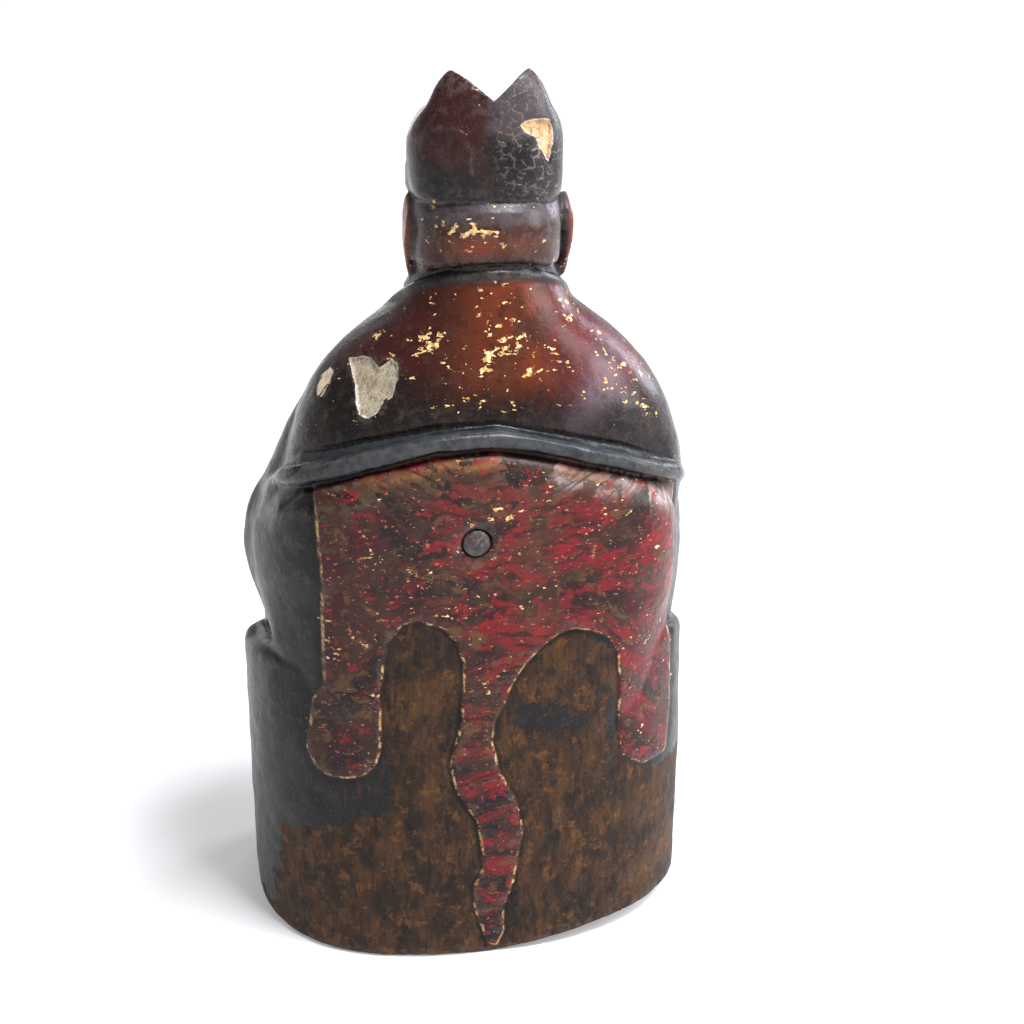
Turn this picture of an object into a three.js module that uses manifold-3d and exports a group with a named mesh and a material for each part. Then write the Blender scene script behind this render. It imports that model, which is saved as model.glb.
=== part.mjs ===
import * as THREE from "three";
import { mergeVertices } from "three/addons/utils/BufferGeometryUtils.js";
import Module from "manifold-3d";

// A seated figure in a horseshoe chair, carved from one block of wood together with its plinth.
// Millimetres, +Z up. The figure faces -Y, and the origin is the centre of its underside.

// Driving dimensions
const TOP_Z = 280; // the taller point of the hat
const HALF_WIDTH = 75; // half the width of the seat block
const BACK_Y = 50; // the flat of the chair back
const FRONT_Y = -52; // the front edge of the plinth
const PLINTH_Z = 24; // the step that the boots stand on
const SEAT_Z = 96; // the ledge round the chair
const RAIL_Z = 178; // the middle line of the crest rail, at its highest
const RAIL_RADIUS = 3;
const RAIL_TURN = 6; // degrees that the top of its arch is turned to the figure's left
const CENTRE_Y = -15; // the middle of the block and of the horseshoe chair
const LEAN_X = -5; // the upper body stands a little off the middle of the block
const COLLAR_Z = 213; // the middle of the tilted collar
const CHIN_Z = 206;
const BRIM_Z = 244; // the lower edge of the hat
const HEAD_HALF_WIDTH = 22.5;
const KNEE_X = 29; // from the middle of the lap to each knee
const BELT_Z = 146;
const PEG_RADIUS = 4.4;
const PEG_DEPTH = 6;
const PEG_X = 4;
const PEG_Z = 146;
const GAP = 0.3; // between the peg and its hole

const DEGREE = Math.PI / 180;
const SIDES = [1, -1]; // the figure's left, then its right

const wasm = await Module();
wasm.setup();

// Solids and meshes

function solidOf(geometry) {
  geometry.deleteAttribute("normal");
  geometry.deleteAttribute("uv");
  const merged = mergeVertices(geometry, 1e-4);
  const corners = merged.index.array;
  const triVerts = [];
  for (let i = 0; i < corners.length; i += 3) {
    const [a, b, c] = corners.slice(i, i + 3);
    if (a !== b && b !== c && a !== c) triVerts.push(a, b, c);
  }
  const vertProperties = merged.attributes.position.array;
  const made = new wasm.Manifold(
    new wasm.Mesh({ numProp: 3, vertProperties, triVerts: new Uint32Array(triVerts) }),
  );
  if (made.volume() > 0) return made;
  return new wasm.Manifold(
    new wasm.Mesh({ numProp: 3, vertProperties, triVerts: new Uint32Array(triVerts.reverse()) }),
  );
}

function joined(solids) {
  return solids.reduce((whole, solid) => whole.add(solid));
}

function meshOf(name, solid, material) {
  const { vertProperties, triVerts } = solid.getMesh();
  const geometry = new THREE.BufferGeometry();
  geometry.setAttribute("position", new THREE.BufferAttribute(vertProperties, 3));
  geometry.setIndex(new THREE.BufferAttribute(triVerts, 1));
  geometry.computeVertexNormals();
  const mesh = new THREE.Mesh(geometry, material);
  mesh.name = name;
  return mesh;
}

// Values between the keys, on a smooth line through them.
function smooth(keys) {
  const size = keys[0].length;
  const line = new THREE.CubicInterpolant(keys.map((_, i) => i), keys.flat(), size);
  return (t) => Array.from(line.evaluate(Math.min(Math.max(t, 0), keys.length - 1)));
}

// A closed tube of unit rings, whose points are moved by place(angle, t) with t from 0 to 1.
function warpedTube(around, rings, place) {
  const profile = [new THREE.Vector2(0, 0)];
  for (let i = 0; i <= rings; i += 1) profile.push(new THREE.Vector2(1, i / rings));
  profile.push(new THREE.Vector2(0, 1));
  const geometry = new THREE.LatheGeometry(profile, around);
  const position = geometry.attributes.position;
  const point = new THREE.Vector3();
  for (let i = 0; i < position.count; i += 1) {
    point.fromBufferAttribute(position, i);
    const out = Math.round(Math.hypot(point.x, point.z));
    const moved = place(out * Math.atan2(point.x, point.z), point.y, out);
    position.setXYZ(i, moved.x, moved.y, moved.z);
  }
  return solidOf(geometry);
}

// How far a rounded outline reaches from its centre. Angle 0 looks to the back, +Y.
// Its sides stand at "wide" beside the centre and lean in towards the back by "flare" degrees.
function reach(angle, { wide, back, front, flare, square }) {
  const x = Math.sin(angle);
  const y = Math.cos(angle);
  const tilt = flare * DEGREE;
  const side = (Math.abs(x) * Math.cos(tilt) + y * Math.sin(tilt)) / (wide * Math.cos(tilt));
  const end = y > 0 ? y / back : -y / front;
  return (Math.max(0, side) ** square + end ** square) ** (-1 / square);
}

// Outlines stacked upwards, with one ring to a level. A value left unsaid is as in the level below.
function stack(levels, { around = 40, shape = (point) => point } = {}) {
  const names = ["z", "x", "y", "wide", "back", "front", "flare", "square"];
  let last = { x: 0, y: 0, flare: 0, square: 2 };
  const keys = levels.map((level) => {
    last = { ...last, ...level };
    return names.map((name) => last[name]);
  });
  const line = smooth(keys);
  const rings = keys.length - 1;
  return warpedTube(around, rings, (angle, t, out) => {
    const values = line(t * rings);
    const level = Object.fromEntries(names.map((name, i) => [name, values[i]]));
    const r = out * reach(angle, level);
    const point = new THREE.Vector3(
      level.x + r * Math.sin(angle),
      level.y + r * Math.cos(angle),
      level.z,
    );
    return shape(point, angle, t, out);
  });
}

// Upright folds round a stack, deepest at its foot.
function folds(count, deep) {
  return (point, angle, t, out) => {
    const fold = out * deep * (1 - t) * Math.cos(angle * count);
    point.x += fold * Math.sin(angle);
    point.y += fold * Math.cos(angle);
    return point;
  };
}

// A round bar along a smooth line. Each knot is [x, y, z, radius].
function bar(knots, { around = 8, rings = 8, flat = 1 } = {}) {
  const radius = smooth(knots.map((knot) => [knot[3]]));
  const curve = new THREE.CatmullRomCurve3(knots.map(([x, y, z]) => new THREE.Vector3(x, y, z)));
  const frames = curve.computeFrenetFrames(rings);
  return warpedTube(around, rings, (angle, t, out) => {
    const i = Math.round(t * rings);
    const r = out * radius(t * (knots.length - 1))[0];
    return curve
      .getPoint(t)
      .addScaledVector(frames.normals[i], r * Math.cos(angle) * flat)
      .addScaledVector(frames.binormals[i], r * Math.sin(angle));
  });
}

function egg(x, y, z, rx, ry, rz, around = 16) {
  const geometry = new THREE.SphereGeometry(1, around, Math.ceil(around / 2));
  geometry.rotateX(Math.PI / 2);
  geometry.scale(rx, ry, rz);
  geometry.translate(x, y, z);
  return solidOf(geometry);
}

function ring(x, y, z, rx, ry, thick, tall, tilt, around) {
  const geometry = new THREE.TorusGeometry(1, thick / rx, 5, around);
  geometry.scale(rx, ry, (tall * rx) / thick);
  geometry.rotateX(tilt * DEGREE);
  geometry.translate(x, y, z);
  return solidOf(geometry);
}

// Chair and plinth

// The ledge round the chair climbs towards the back.
function seatBlock() {
  const back = BACK_Y - CENTRE_Y;
  const levels = [
    { z: 0, y: CENTRE_Y, wide: HALF_WIDTH - 1.2, back: back - 1.2, front: 16, square: 2.6 },
    { z: 3, wide: HALF_WIDTH, back },
    { z: SEAT_Z / 2, square: 2.7 },
    { z: SEAT_Z - 7, square: 2.5 },
    { z: SEAT_Z - 3, wide: HALF_WIDTH - 1, back: back - 1 },
    { z: SEAT_Z - 1, wide: HALF_WIDTH - 4, back: back - 4 },
  ];
  const shape = (point) => {
    const share = THREE.MathUtils.smoothstep(point.z, SEAT_Z / 2, SEAT_Z - 8);
    point.z += 9 * share * THREE.MathUtils.smoothstep(point.y, CENTRE_Y, 32);
    return point;
  };
  return stack(levels, { around: 44, shape });
}

function plinthStep() {
  const front = CENTRE_Y - FRONT_Y;
  const levels = [
    { z: 0, y: CENTRE_Y, wide: HALF_WIDTH - 1.2, back: 30, front: front - 1.2, square: 3.8 },
    { z: 3, wide: HALF_WIDTH, front },
    { z: PLINTH_Z - 2.5 },
    { z: PLINTH_Z, wide: HALF_WIDTH - 2, front: front - 2 },
  ];
  return stack(levels, { around: 36 });
}

// How far the rail has dropped from its top at an angle round the chair, 0 at the back.
function railDrop(angle) {
  const turned = THREE.MathUtils.euclideanModulo(angle / DEGREE - RAIL_TURN + 180, 360) - 180;
  return 33 * Math.abs(turned / 80) ** 1.55;
}

// The outline of the chair back. It grows out of the block below the ledge, its rear is flat, and
// its sides open forwards as they rise.
function wallLevels() {
  const back = BACK_Y - CENTRE_Y;
  return [
    { z: 50, x: -0.5, y: CENTRE_Y, wide: 59, back: back - 1.6, front: 10, flare: 6, square: 3.6 },
    { z: 72, wide: 64.5, back: back - 0.1, flare: 8, square: 3.9 },
    { z: SEAT_Z, wide: 67.5, back: back + 0.2, flare: 8.5, square: 4.6 },
    { z: 110, wide: 67.8, back, flare: 7 },
    { z: 124, x: -1, flare: 6, square: 5 },
    { z: 140, wide: 68, back: back + 0.4, square: 6 },
    { z: 154, back: back + 1.2 },
    { z: 164, wide: 67.3, back: back + 1.5 },
    { z: 170, wide: 66.5, back: back + 1.2, square: 5 },
    { z: 175, wide: 64, back: back - 2 },
  ];
}

// The wall follows the rail along its top, and its sides bulge outwards below the rail.
function chairWall() {
  const { smoothstep } = THREE.MathUtils;
  const shape = (point, angle) => {
    point.z -= smoothstep(point.z, SEAT_Z + 10, RAIL_Z) * railDrop(angle);
    const waist = (1 - smoothstep(point.z, 104, 128)) * (1 - smoothstep(point.y, 8, 26));
    const bulge = (4.5 - 3 * smoothstep(point.z, 136, 160)) * (1 - waist);
    const left = smoothstep(point.x, 30, 62) * (1 - smoothstep(point.y, 18, 46));
    const right = smoothstep(-point.x, 30, 66) * (1 - smoothstep(point.y, 0, 38));
    point.x += bulge * left - 4 * right;
    return point;
  };
  return stack(wallLevels(), { around: 44, shape });
}

// The rail follows the top of the chair back and ends beside each arm.
function crestRail() {
  const back = BACK_Y - CENTRE_Y - 1.5;
  const rim = { wide: 66.8, back, front: 30, flare: 6, square: 5 };
  const knots = [];
  for (let i = -6; i <= 6; i += 1) {
    const angle = (i / 6) * 97 * DEGREE;
    const r = reach(angle, rim);
    const z = RAIL_Z - railDrop(angle);
    knots.push([r * Math.sin(angle) - 3, CENTRE_Y + r * Math.cos(angle), z, RAIL_RADIUS]);
  }
  return bar(knots, { around: 6, rings: 30 });
}

// The rounded front edge of the chair's side, which runs out to a point on the ledge.
function sideFold(side) {
  const shift = side < 0 ? -2 : 0;
  const knots = [
    [57 * side + shift, -10, 156, 3.5],
    [66.5 * side + shift, -5, 143, 5],
    [67.8 * side + shift, -4, 128, 5],
    [65.5 * side + shift, -2, 117, 4.6],
    [62.3 * side + shift, 6, 109, 3.9],
    [59 * side + shift, 18, 104, 3],
    [56.5 * side + shift, 27, 102, 2],
  ];
  return bar(knots, { around: 7, rings: 8 });
}

// Wood lost along the rear edge of the underside, deepest at the figure's right.
function wornEdge() {
  const geometry = new THREE.BoxGeometry(120, 60, 20);
  geometry.translate(0, 30, -10);
  geometry.rotateX(14 * DEGREE);
  geometry.rotateZ(38 * DEGREE);
  geometry.translate(-40, 17, 0);
  return solidOf(geometry);
}

// Body and robe

function robeBody() {
  const levels = [
    { z: SEAT_Z - 8, x: LEAN_X / 2, y: 8, wide: 56, back: 34, front: 40, square: 3 },
    { z: 120, x: LEAN_X, wide: 59, front: 40 },
    { z: 142, wide: 62, front: 42, back: 36 },
    { z: 160, wide: 63, front: 38, back: 37.5, square: 2.8 },
    { z: 172, wide: 60.5, front: 34, back: 38, square: 2.5 },
    { z: 182, wide: 56.3, front: 31, back: 37 },
    { z: 191, wide: 50.8, front: 29, back: 34.8, square: 2.3 },
    { z: 199, wide: 43.2, front: 27, back: 32 },
    { z: 205.5, wide: 34.8, front: 25, back: 29.8 },
    { z: 211, wide: 27.5, front: 22, back: 28 },
    { z: 222, wide: 21, front: 14, back: 24.5 },
  ];
  return stack(levels, { around: 34 });
}

function collar() {
  return ring(LEAN_X, 8, COLLAR_Z, 22, 25, 2, 2.4, 21, 24);
}

// The crossed front edges of the robe, the figure's left over its right.
function lapels() {
  const x = (value) => LEAN_X + value;
  const over = [
    [x(15.5), -10.8, 210.5, 2],
    [x(9), -18.6, 199, 2.2],
    [x(1), -22.2, 187, 2.2],
    [x(-8), -26.6, 171, 2.2],
    [x(-15), -32, 152, 2],
  ];
  const under = [
    [x(-15.5), -10.8, 210.5, 2],
    [x(-9), -18.6, 199, 2.2],
    [x(-3), -21, 190, 1.8],
  ];
  return joined([
    bar(over, { around: 5, rings: 5 }),
    bar(under, { around: 5, rings: 3 }),
  ]);
}

function belt() {
  return ring(LEAN_X, 0, BELT_Z, 61, 35.5, 3, 4, 0, 24);
}

// Upper arm, forearm and the wide sleeve that hangs from it to the seat.
function arm(side) {
  const x = (value) => LEAN_X * 0.6 + side * value;
  const upper = bar(
    [
      [x(29), 4, 189, 11],
      [x(41.5), -1, 171, 15.5],
      [x(49.5), -8, 151, 16.5],
      [x(52), -16, 135, 15],
    ],
    { around: 12, rings: 5 },
  );
  const fore = bar(
    [
      [x(56), -6, 140, 13],
      [x(52), -22, 133, 13.5],
      [x(43), -33, 127, 12.5],
      [x(36), -39, 123, 9.5],
    ],
    { around: 12, rings: 5 },
  );
  const hanging = stack(
    [
      { z: SEAT_Z - 4, x: x(55), y: -20, wide: 12, back: 18, front: 15, square: 2.4 },
      { z: 104, wide: 13, back: 20, front: 17 },
      { z: 118, x: x(54), wide: 15, back: 20, front: 18 },
      { z: 134, x: x(52), wide: 17, back: 18, front: 16 },
      { z: 146, x: x(52), wide: 14, back: 14, front: 12 },
    ],
    { around: 20, shape: folds(6, 1.5) },
  );
  return joined([upper, fore, hanging]);
}

function hand(side) {
  const x = (value) => LEAN_X * 0.6 + side * value;
  const parts = [egg(x(32), -42, 121, 7, 8.5, 4.5, 10)];
  for (let i = 0; i < 4; i += 1) {
    const across = 37.5 - i * 3.6;
    const long = i === 0 || i === 3 ? 0 : 1.2;
    parts.push(
      bar(
        [
          [x(across), -42.5, 122.5, 2.1],
          [x(across - 0.4), -46.5 - long, 120.5, 2],
          [x(across - 0.8), -48.8 - long, 115.5, 1.7],
          [x(across - 1), -49 - long, 111, 0.9],
        ],
        { around: 5, rings: 3 },
      ),
    );
  }
  parts.push(
    bar(
      [
        [x(27), -40, 122, 2.6],
        [x(23.5), -44, 120, 2.2],
        [x(22.5), -47.5, 116.5, 1.2],
      ],
      { around: 5, rings: 3 },
    ),
  );
  return joined(parts);
}

// Each leg is a thigh and a shin under the robe, with a flared hem.
function leg(side) {
  const x = side * KNEE_X + LEAN_X * 0.4;
  const thigh = bar(
    [
      [x * 0.8, 5, 112, 18],
      [x, -18, 109, 18],
      [x, -34, 106, 17],
      [x, -44, 101, 10],
    ],
    { around: 12, rings: 4 },
  );
  const levels = [
    { z: PLINTH_Z + 9, x: x * 1.04, y: -26, wide: 22, back: 16, front: 19.5, square: 2.3 },
    { z: PLINTH_Z + 22, wide: 20.5, front: 18 },
    { z: 70, x, wide: 19, front: 18.5 },
    { z: 92, wide: 19, front: 21 },
    { z: 106, wide: 17.5, front: 21.5 },
    { z: 117, wide: 11, front: 14, back: 12 },
  ];
  return joined([thigh, stack(levels, { around: 24, shape: folds(7, 1.4) })]);
}

function boot(side) {
  const x = side * (KNEE_X + 1) + LEAN_X * 0.4;
  const foot = egg(x, -36, PLINTH_Z + 3, 10.5, 14, 9, 14);
  const ankle = egg(x, -30, PLINTH_Z + 9, 10, 11, 12, 12);
  return joined([foot, ankle]);
}

// The panel of the robe that hangs between the knees, with U-shaped folds.
function apron() {
  const middle = LEAN_X * 0.4;
  const levels = [
    { z: PLINTH_Z + 7, x: middle, y: -25, wide: 20, back: 10, front: 16, square: 3.5 },
    { z: 60, wide: 19, front: 14 },
    { z: 90, wide: 19, front: 16 },
    { z: 108, wide: 19, front: 18 },
    { z: 118, wide: 18, front: 13 },
  ];
  const parts = [stack(levels, { around: 22, shape: folds(9, 1) })];
  for (let i = 0; i < 3; i += 1) {
    const z = 104 - i * 19;
    const half = 12 - i;
    const knots = [];
    for (let j = -2; j <= 2; j += 1) {
      const near = 1 - (j / 2) ** 2;
      knots.push([middle + (half * j) / 2, -39.5 - near * 2 + i * 0.8, z - 10 * near, 2.4]);
    }
    parts.push(bar(knots, { around: 5, rings: 6 }));
  }
  return joined(parts);
}

// The knot of the belt and the two ends of its sash.
function sash() {
  const middle = LEAN_X * 0.4;
  const parts = SIDES.map((side) =>
    bar(
      [
        [middle + side * 3, -37.5, 141, 3.2],
        [middle + side * 4, -42, 121, 3.6],
        [middle + side * 5, -43.5, 104, 3.8],
        [middle + side * 6, -42, 84, 4.2],
        [middle + side * 7, -40.5, 62, 4.6],
      ],
      { around: 6, rings: 6, flat: 0.5 },
    ),
  );
  parts.push(egg(middle, -38, BELT_Z - 1, 7, 5, 5.5, 12));
  return joined(parts);
}

// Head and hat

function head() {
  const chin = CHIN_Z;
  const eyes = chin + 25;
  const wide = HEAD_HALF_WIDTH;
  const levels = [
    { z: chin - 2, x: LEAN_X, y: 8, wide: 10, back: 18, front: 17, square: 2.2 },
    { z: chin + 1, wide: 13, front: 23.5 },
    { z: chin + 6, wide: 17.5, back: 20, front: 26 },
    { z: chin + 14, wide: wide - 1.5, back: 23, front: 27 },
    { z: eyes - 4, wide, back: 25.5, square: 2.4 },
    { z: eyes + 4, wide, back: 27.5, front: 26.5 },
    { z: eyes + 9, wide, back: 27 },
    { z: BRIM_Z, wide: wide - 0.8, back: 24 },
  ];
  return stack(levels, { around: 28 });
}

function faceFeatures() {
  const front = -18.6;
  const eyes = CHIN_Z + 25;
  const parts = [
    bar(
      [
        [LEAN_X, front + 1.5, eyes + 4, 1.6],
        [LEAN_X, front - 0.6, eyes - 3, 2.1],
        [LEAN_X, front - 2.4, eyes - 9, 3.1],
        [LEAN_X, front + 0.5, eyes - 11, 2],
      ],
      { around: 6, rings: 4 },
    ),
    egg(LEAN_X, front + 0.9, CHIN_Z + 10.8, 5.2, 1.9, 1.4, 10),
    egg(LEAN_X, front + 1.4, CHIN_Z + 8.2, 4.2, 1.9, 1.5, 10),
    egg(LEAN_X, front + 3.4, CHIN_Z + 2.8, 6, 3.6, 3.8, 12),
  ];
  for (const side of SIDES) {
    parts.push(egg(LEAN_X + side * 8.6, front + 2.6, eyes, 4.8, 2.6, 2.5, 12));
    parts.push(egg(LEAN_X + side * 2.9, front + 0.1, eyes - 9, 1.9, 1.9, 1.7, 8));
    parts.push(
      bar(
        [
          [LEAN_X + side * 3.5, front + 0.6, eyes + 4.6, 1],
          [LEAN_X + side * 9, front + 1.4, eyes + 6.8, 1.4],
          [LEAN_X + side * 14.5, front + 5.2, eyes + 4.6, 0.9],
        ],
        { around: 5, rings: 4 },
      ),
    );
  }
  return joined(parts);
}

function ear(side) {
  const x = LEAN_X - 1 + side * (HEAD_HALF_WIDTH + 0.3);
  const shell = bar(
    [
      [x - side * 0.6, 9, BRIM_Z - 2, 3],
      [x + side * 1.4, 11, BRIM_Z - 7, 6],
      [x + side * 1.2, 10, BRIM_Z - 14, 5],
      [x + side * 0.6, 8, BRIM_Z - 21, 4],
      [x, 7, BRIM_Z - 26, 2.6],
    ],
    { around: 8, rings: 6 },
  );
  return shell.intersect(egg(x - side * 1.5, 10, BRIM_Z - 13, 4.4, 12, 16, 14));
}

function hatCap() {
  const levels = [
    { z: BRIM_Z - 1, x: LEAN_X, y: 4, wide: 21.6, back: 22, front: 23, square: 2.5 },
    { z: BRIM_Z + 0.5, wide: 22.6, front: 24.5 },
    { z: BRIM_Z + 6 },
    { z: BRIM_Z + 8, wide: 22.2, front: 22.8 },
    { z: BRIM_Z + 16, wide: 21.2, back: 18, front: 19 },
    { z: BRIM_Z + 23, wide: 17.5, back: 14, front: 14 },
    { z: BRIM_Z + 27.5, wide: 9, back: 8, front: 7 },
  ];
  return stack(levels, { around: 24 });
}

// The tall back of the hat, cut by a notch that leaves two pointed lobes.
function hatCrest() {
  const levels = [
    { z: BRIM_Z - 0.5, x: LEAN_X, y: 14, wide: 21.8, back: 18.6, front: 12, square: 2.6 },
    { z: BRIM_Z + 1, wide: 22.4, back: 19.2 },
    { z: BRIM_Z + 8, wide: 23.1, back: 19.6 },
    { z: BRIM_Z + 15, wide: 23 },
    { z: BRIM_Z + 21, y: 18, wide: 21.4, back: 14.6, front: 11 },
    { z: TOP_Z - 10, y: 22, wide: 18, back: 9.6, front: 7.5 },
    { z: TOP_Z - 5, y: 23, wide: 15.8, back: 7.2, front: 5 },
    { z: TOP_Z - 1.2, y: 23.5, wide: 12.8, back: 4.6, front: 3 },
    { z: TOP_Z + 0.4, wide: 10.8, back: 2.4, front: 1.6 },
  ];
  return stack(levels, { around: 24 }).subtract(hatNotch());
}

function hatNotch() {
  const half = 15;
  const deep = 10;
  const long = 40;
  const outline = new THREE.Shape([
    new THREE.Vector2(0, TOP_Z - deep),
    new THREE.Vector2(half, TOP_Z + 3.2),
    new THREE.Vector2(-half, TOP_Z + 3.8),
  ]);
  const geometry = new THREE.ExtrudeGeometry(outline, { depth: long, bevelEnabled: false });
  geometry.translate(0, -TOP_Z + deep, -long / 2);
  geometry.rotateX(Math.PI / 2 + 18 * DEGREE);
  geometry.translate(LEAN_X, 27, TOP_Z - deep);
  return solidOf(geometry);
}

// Peg and its hole

function peg(radius, depth, dome) {
  const geometry = new THREE.LatheGeometry(pegProfile(radius, depth, dome), 16);
  geometry.translate(PEG_X, BACK_Y + 0.4, PEG_Z);
  return solidOf(geometry);
}

function pegProfile(radius, depth, dome) {
  const profile = [new THREE.Vector2(0, -depth), new THREE.Vector2(radius, -depth)];
  const steps = 4;
  for (let i = 0; i < steps; i += 1) {
    const a = (i / steps) * (Math.PI / 2);
    profile.push(new THREE.Vector2(radius * Math.cos(a), dome * Math.sin(a)));
  }
  profile.push(new THREE.Vector2(0, dome));
  return profile;
}

const both = (make) => SIDES.map((side) => make(side));

const figure = joined([
  seatBlock(),
  plinthStep(),
  chairWall(),
  crestRail(),
  ...both(sideFold),
  robeBody(),
  collar(),
  lapels(),
  belt(),
  ...both(arm),
  ...both(hand),
  ...both(leg),
  ...both(boot),
  apron(),
  sash(),
  head(),
  faceFeatures(),
  ...both(ear),
  hatCap(),
  hatCrest(),
]);

const group = new THREE.Group();
group.add(
  meshOf(
    "carved_figure",
    figure.subtract(wornEdge()).subtract(peg(PEG_RADIUS + GAP, PEG_DEPTH + GAP, 6)),
    new THREE.MeshStandardMaterial({ color: 0x4a2620, roughness: 0.45, metalness: 0 }),
  ),
  meshOf(
    "back_peg",
    peg(PEG_RADIUS, PEG_DEPTH, 1.6),
    new THREE.MeshStandardMaterial({ color: 0x4a443e, roughness: 0.5, metalness: 0 }),
  ),
);

export default group;
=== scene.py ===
import math
from functools import reduce

import bpy
import numpy as np
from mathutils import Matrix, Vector


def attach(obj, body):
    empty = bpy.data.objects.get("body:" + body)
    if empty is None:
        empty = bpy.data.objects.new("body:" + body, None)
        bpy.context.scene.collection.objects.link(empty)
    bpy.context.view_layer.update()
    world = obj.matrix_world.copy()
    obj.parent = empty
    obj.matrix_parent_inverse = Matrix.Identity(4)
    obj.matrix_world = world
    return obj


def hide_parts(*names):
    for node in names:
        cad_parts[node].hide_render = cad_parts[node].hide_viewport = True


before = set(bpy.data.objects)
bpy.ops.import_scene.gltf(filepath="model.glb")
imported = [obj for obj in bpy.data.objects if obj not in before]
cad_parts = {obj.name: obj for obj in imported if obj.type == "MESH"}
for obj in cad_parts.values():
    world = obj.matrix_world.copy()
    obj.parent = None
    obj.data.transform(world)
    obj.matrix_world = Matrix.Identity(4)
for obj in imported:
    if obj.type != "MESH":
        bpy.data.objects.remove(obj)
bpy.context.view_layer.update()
scene = bpy.context.scene

# A seated figure in a horseshoe chair, carved from one block of wood together with its plinth.
# Numbers are millimetres until the mesh is made. The figure faces -Y, and its left is at +X.

TOP_Z = 280
HALF_WIDTH = 75
BACK_Y = 50
FRONT_Y = -52
PLINTH_Z = 24
SEAT_Z = 96
RAIL_Z = 178
RAIL_TURN = 6
CENTRE_Y = -15
LEAN_X = -5
COLLAR_Z = 213
CHIN_Z = 206
BRIM_Z = 244
HEAD_HALF_WIDTH = 22.5
KNEE_X = 29
BELT_Z = 146
EYES_Z = CHIN_Z + 25
LAP_X = LEAN_X * 0.4
ARMS_X = LEAN_X * 0.6
COLLAR_TILT = 21
PEG = (4, 50.4, 146)
PEG_RADIUS = 4.4
PEG_DEPTH = 6
PEG_GAP = 0.3
SIDES = (1, -1)
BACK = BACK_Y - CENTRE_Y

VOXEL = 0.75
TRIANGLES = 186000
FAR = 12.0  # as far as a distance to an outline is followed


# Numbers and fields

def step(value, low, high):
    t = np.clip((value - low) / (high - low), 0, 1)
    return t * t * (3 - 2 * t)


def near(distance, width):
    return np.exp(-((distance / width) ** 2))


def line_through(keys, loose=False):
    """Values between rows of keys. Unless it is loose, the line never leaves the range of its keys."""
    keys = np.array(keys, float)
    rise = np.diff(keys, axis=0)
    slope = np.zeros_like(keys)
    slope[0], slope[-1] = rise[0], rise[-1]
    a, b = rise[:-1], rise[1:]
    if loose:
        slope[1:-1] = (a + b) / 2
    else:
        same = a * b > 0
        slope[1:-1][same] = 2 * a[same] * b[same] / (a[same] + b[same])

    def value_at(t):
        t = np.clip(t, 0, len(keys) - 1)
        i = np.minimum(t.astype(int), len(keys) - 2)
        u = (t - i)[..., None]
        start = (2 * u**3 - 3 * u**2 + 1) * keys[i] + (u**3 - 2 * u**2 + u) * slope[i]
        return start + (3 * u**2 - 2 * u**3) * keys[i + 1] + (u**3 - u**2) * slope[i + 1]

    return value_at


def noise(points, size, seed, octaves=3):
    """Smooth value noise from about -1 to 1, with lumps of that size in mm."""
    total, weight = np.zeros(len(points)), 1.0
    for octave in range(octaves):
        table = np.random.default_rng(seed + octave).uniform(-1, 1, (32, 32, 32))
        q = points / (size / 2**octave) + 100.37
        cell = np.floor(q).astype(int)
        u = q - cell
        u = u * u * (3 - 2 * u)
        value = 0
        for corner in np.ndindex(2, 2, 2):
            share = np.prod(np.where(corner, u, 1 - u), axis=1)
            i, j, k = ((cell + corner) % 32).T
            value = value + share * table[i, j, k]
        total += weight * value
        weight /= 2
    return total


def to_segments(flat, ends):
    """Distance from flat points to each segment of a line, as (points, segments), and where along it."""
    a, b = ends[:-1], ends[1:]
    along = b - a
    w = flat[:, None, :] - a[None]
    share = np.clip((w * along).sum(2) / (along**2).sum(1), 0, 1)
    return np.linalg.norm(w - share[..., None] * along, axis=2), share


def to_line(flat, ends):
    """Distance to an open line, and the length run along it at the nearest point."""
    ends = np.array(ends, float)
    run = np.concatenate([[0], np.cumsum(np.linalg.norm(np.diff(ends, axis=0), axis=1))])
    distance, share = to_segments(flat, ends)
    i = distance.argmin(1)
    rows = np.arange(len(flat))
    return distance[rows, i], run[i] + share[rows, i] * np.diff(run)[i]


def inside(flat, outline):
    """Signed distance to a closed outline, positive inside it."""
    ends = np.array(outline + outline[:1], float)
    distance = np.full(len(flat), -FAR)
    close = ((flat > ends.min(0) - FAR) & (flat < ends.max(0) + FAR)).all(1)
    part = flat[close]
    a, b = ends[:-1], ends[1:]
    x, z = part[:, :1], part[:, 1:]
    spans = (a[:, 1] > z) != (b[:, 1] > z)
    rise = np.where(a[:, 1] == b[:, 1], 1e-9, b[:, 1] - a[:, 1])
    crossing = spans & (x < (b[:, 0] - a[:, 0]) * (z - a[:, 1]) / rise + a[:, 0])
    odd = crossing.sum(1) % 2 == 1
    distance[close] = np.where(odd, 1, -1) * to_segments(part, ends)[0].min(1)
    return distance


# Closed forms

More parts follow.
